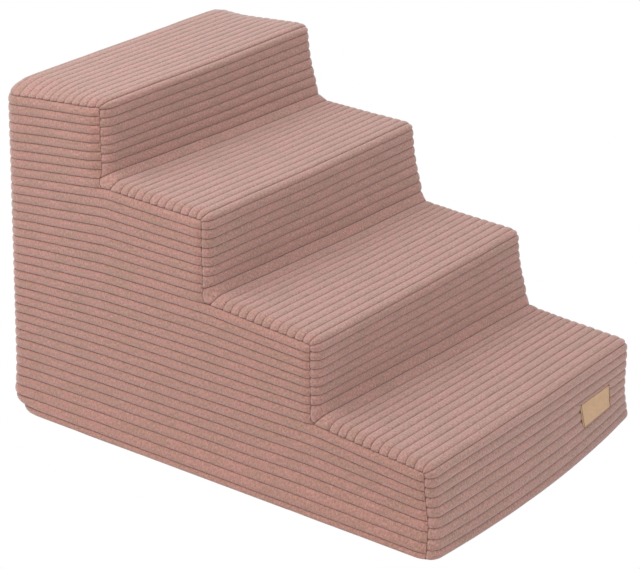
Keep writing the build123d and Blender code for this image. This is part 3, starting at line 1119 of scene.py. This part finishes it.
class STAIRS_OT_label(bpy.types.Operator):
    """Make the bare leatherette label on the lowest riser"""

    bl_idname = "pet_stairs.label"
    bl_label = "Label"

    def execute(self, context):
        size = label_high - label_low
        patch = box_work(label_low, label_high)
        thin = [edge for edge in patch.edges
                if abs(edge.verts[0].co.y - edge.verts[1].co.y) > size.y / 2]
        bevel(patch, thin, 1.2 * MM, 3)
        face = [edge for edge in patch.edges
                if all(abs(vert.co.y - label_low.y) < 1e-6 for vert in edge.verts)]
        bevel(patch, face, 0.35 * MM, 2)
        for axis, step in ((X_AXIS, 6 * MM), (Z_AXIS, 5 * MM)):
            slice_box(patch, axis, label_low, label_high, step)
        for vert in patch.verts:
            wave = noise.noise(Vector((vert.co.x / 0.02, vert.co.z / 0.015, 3)))
            vert.co.y += 0.25 * MM * wave
            vert.co = soften(vert.co)
        label = make_object("label_patch", patch, leather_finish())
        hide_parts("label")
        thread = bmesh.new()
        bottom, run = label_low.z - LABEL_SEAM, size.z + 2 * LABEL_SEAM
        count = round(run / STITCH_PITCH)
        for end in (label_low.x + LABEL_SEAM, label_high.x - LABEL_SEAM):
            for stitch in range(count):
                centre = Vector((end, label_low.y - 0.2 * MM, bottom + (stitch + 0.5) * run / count))
                self.stitch(thread, centre)
        finish = moulded_finish("sewing_thread", look().thread, 0.7)
        make_object("label_stitches", thread, finish)
        return {"FINISHED"}

    def stitch(self, thread, centre):
        """Adds one upright stitch, a short thread whose two ends dive in."""
        rings = []
        for along, thick in STITCH_RINGS:
            rings.append([])
            for corner in range(6):
                angle = corner * math.pi / 3
                dive = 0.45 * along ** 4
                off = MM * Vector((thick * math.cos(angle), thick * math.sin(angle) + dive, along))
                rings[-1].append((soften(centre + off), None))
        skin(thread, rings)


def skin(mesh_work, rings, chart=None):
    """Joins rings of points into a closed tube with two flat ends, mapped by their flat places."""
    rings = [[(mesh_work.verts.new(point), spot) for point, spot in ring] for ring in rings]
    faces = [mesh_work.faces.new([vert for vert, _ in ring]) for ring in (rings[0], rings[-1])]
    for ring, following in zip(rings, rings[1:]):
        for corner in range(len(ring)):
            around = (ring[corner - 1], following[corner - 1], following[corner], ring[corner])
            face = mesh_work.faces.new([vert for vert, _ in around])
            faces.append(face)
            if chart:
                for loop, (_, spot) in zip(face.loops, around):
                    loop[chart].uv = spot
    bmesh.ops.recalc_face_normals(mesh_work, faces=faces)


def zip_line():
    """The zip's centre line in the flat view of the back, from its top at -X round to its top at +X."""
    half, floor, top = inner_tape_high.x + ZIP_GAP, inner_tape_low.z - ZIP_GAP, tape_high.z
    return Outline([(-half, top), (-half, floor), (half, floor), (half, top)], [ZIP_RADIUS] * 2)


class STAIRS_OT_zip(bpy.types.Operator):
    """Make the zip's tapes and coils, and finish its slider, pull and stops"""

    bl_idname = "pet_stairs.zip"
    bl_label = "Zip"

    def execute(self, context):
        tape, nylon = tape_finish(), moulded_finish("zip_nylon", look().zip, 0.45)
        line = zip_line()
        for name, way in (("outer", -1), ("inner", 1)):
            woven = make_object(f"zip_tape_{name}_woven", self.tape(line, way), tape)
            woven.data.shade_flat()
            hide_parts(f"zip_tape_{name}")
            loops = make_object(f"zip_coil_{name}_loops", self.coil(line, way), nylon)
            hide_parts(f"zip_coil_{name}")
        metal = metal_finish()
        for name in ("zip_slider", "zip_pull", "zip_top_stop", "zip_bottom_stop"):
            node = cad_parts[name]
            node.data.materials.clear()
            node.data.materials.append(metal)
        return {"FINISHED"}

    def tape(self, line, way):
        """One tape: a flat ribbon that ends just under the top seam."""
        low, high, width = tape_low.y, tape_high.y, tape_high.x - inner_tape_high.x - ZIP_GAP
        rings = []
        for place in even_cuts(0, line.length, 3 * MM):
            centre, heading = line.at(place)
            inward = turned(heading, math.pi / 2) * way
            ring = []
            for offset, depth in ((ZIP_GAP, low), (width, low), (width, high), (ZIP_GAP, high)):
                spot = centre + inward * offset
                top = soften((spot.x, BACK, tape_high.z)).z - 1.5 * MM
                ring.append(((spot.x, depth, min(spot.y, top)), (place, offset + depth - low)))
            rings.append(ring)
        tape = bmesh.new()
        skin(tape, rings, tape.loops.layers.uv.new("cloth"))
        return tape

    def coil(self, line, way):
        """One coil: nylon loops that lie across the tape's edge, each with a swollen head."""
        coil = bmesh.new()
        middle, half_height = (coil_low.y + coil_high.y) / 2, (coil_high.y - coil_low.y) / 2
        width = coil_high.x - inner_tape_high.x - 2 * ZIP_GAP
        first = tape_high.z - coil_high.z + COIL_PITCH * (0.75 if way > 0 else 0.5)
        for loop in range(int((line.length - 2 * first) / COIL_PITCH) + 1):
            centre, heading = line.at(first + loop * COIL_PITCH)
            inward = turned(heading, math.pi / 2) * way
            rings = []
            for along, height, breadth in COIL_SECTIONS:
                spot = centre + inward * (ZIP_GAP + along * width)
                rings.append([])
                for corner in range(6):
                    angle = corner * math.pi / 3
                    aside = spot + heading * (math.sin(angle) * breadth * COIL_PITCH)
                    depth = middle + math.cos(angle) * height * half_height
                    rings[-1].append(((aside.x, depth, aside.y), None))
            skin(coil, rings)
        return coil


class STAIRS_OT_stage(bpy.types.Operator):
    """Set up the pale floor, the studio light and the camera"""

    bl_idname = "pet_stairs.stage"
    bl_label = "Stage"

    def execute(self, context):
        stage = context.scene.stair_stage
        plane = bmesh.new()
        bmesh.ops.create_grid(plane, x_segments=1, y_segments=1, size=12)
        floor = add_mesh("floor", plane, self.floor_finish())
        world = bpy.data.worlds.new("studio")
        context.scene.world = world
        world.use_nodes = True
        nodes = world.node_tree.nodes
        sky, white = nodes["Background"], nodes.new("ShaderNodeBackground")
        for background, strength in ((sky, stage.sky), (white, 1.0)):
            background.inputs["Color"].default_value = (1, 1, 1, 1)
            background.inputs["Strength"].default_value = strength
        self.show(world.node_tree, sky.outputs[0], white.outputs[0], nodes["World Output"])
        self.light("key_light", stage.key_power, (-0.9, 0.5, 2.0))
        self.light("fill_light", stage.fill_power, (0.6, -2.2, 1.2))
        camera = add_object("camera", bpy.data.cameras.new("camera"))
        camera.data.sensor_width = 36
        camera.data.lens = stage.lens
        turn = Matrix.Rotation(stage.camera_azimuth, 4, "Z")
        tilt = Matrix.Rotation(math.pi / 2 - stage.camera_elevation, 4, "X")
        roll = Matrix.Rotation(stage.camera_roll, 4, "Z")
        camera.matrix_world = Matrix.Translation(stage.camera_place) @ turn @ tilt @ roll
        context.scene.camera = camera
        context.scene.view_settings.view_transform = "Standard"
        return {"FINISHED"}

    def show(self, tree, plain, white, output):
        """Shows white to the camera, also in metal and glass, and the plain shade to other rays."""
        rays = tree.nodes.new("ShaderNodeLightPath")
        share = rays.outputs["Is Camera Ray"]
        for name in ("Is Glossy Ray", "Is Transmission Ray"):
            larger = tree.nodes.new("ShaderNodeMath")
            larger.operation = "MAXIMUM"
            tree.links.new(share, larger.inputs[0])
            tree.links.new(rays.outputs[name], larger.inputs[1])
            share = larger.outputs[0]
        blend = tree.nodes.new("ShaderNodeMixShader")
        for socket, source in zip(blend.inputs, (share, plain, white)):
            tree.links.new(source, socket)
        tree.links.new(blend.outputs[0], output.inputs[0])

    def floor_finish(self):
        """Pale paper, which the camera sees as plain white without shadows."""
        paper = Paint("paper", Base_Color=(0.86, 0.86, 0.86, 1), Roughness=1.0, Specular_IOR_Level=0.0)
        white = paper.node("ShaderNodeEmission", None, {"Strength": 1.0})
        output = paper.tree.nodes["Material Output"]
        self.show(paper.tree, paper.surface.outputs[0], white.socket, output)
        return paper.material

    def light(self, name, power, place):
        lamp = bpy.data.lights.new(name, "AREA")
        lamp.energy = power
        lamp.size = LIGHT_SIZE
        made = add_object(name, lamp)
        made.location = place
        aim = Vector((0, 0, 0.15)) - Vector(place)
        made.rotation_euler = aim.to_track_quat("-Z", "Y").to_euler()


class STAIRS_PT_panel(bpy.types.Panel):
    """Lists the pieces of the stairs in the sidebar."""

    bl_idname = "STAIRS_PT_panel"
    bl_label = "Pet Stairs"
    bl_space_type = "VIEW_3D"
    bl_region_type = "UI"
    bl_category = "Pet Stairs"

    def draw(self, context):
        for operator in OPERATORS:
            self.layout.operator(operator.bl_idname)
        for group in ("stair_sizes", "stair_look", "stair_stage"):
            box = self.layout.box()
            settings = getattr(context.scene, group)
            for name in settings.__annotations__:
                box.prop(settings, name)


GROUPS = {"stair_sizes": StairSizes, "stair_look": StairLook, "stair_stage": StairStage}
OPERATORS = (
    STAIRS_OT_foam, STAIRS_OT_strip, STAIRS_OT_sides, STAIRS_OT_back, STAIRS_OT_base,
    STAIRS_OT_label, STAIRS_OT_zip, STAIRS_OT_stage,
)


def register():
    for group in (*GROUPS.values(), *OPERATORS, STAIRS_PT_panel):
        bpy.utils.register_class(group)
    for name, group in GROUPS.items():
        setattr(bpy.types.Scene, name, PointerProperty(type=group))


def unregister():
    for name in GROUPS:
        delattr(bpy.types.Scene, name)
    for group in reversed((*GROUPS.values(), *OPERATORS, STAIRS_PT_panel)):
        bpy.utils.unregister_class(group)


def main():
    register()
    for operator in OPERATORS:
        group, name = operator.bl_idname.split(".")
        getattr(getattr(bpy.ops, group), name)()


if __name__ == "__main__":
    main()
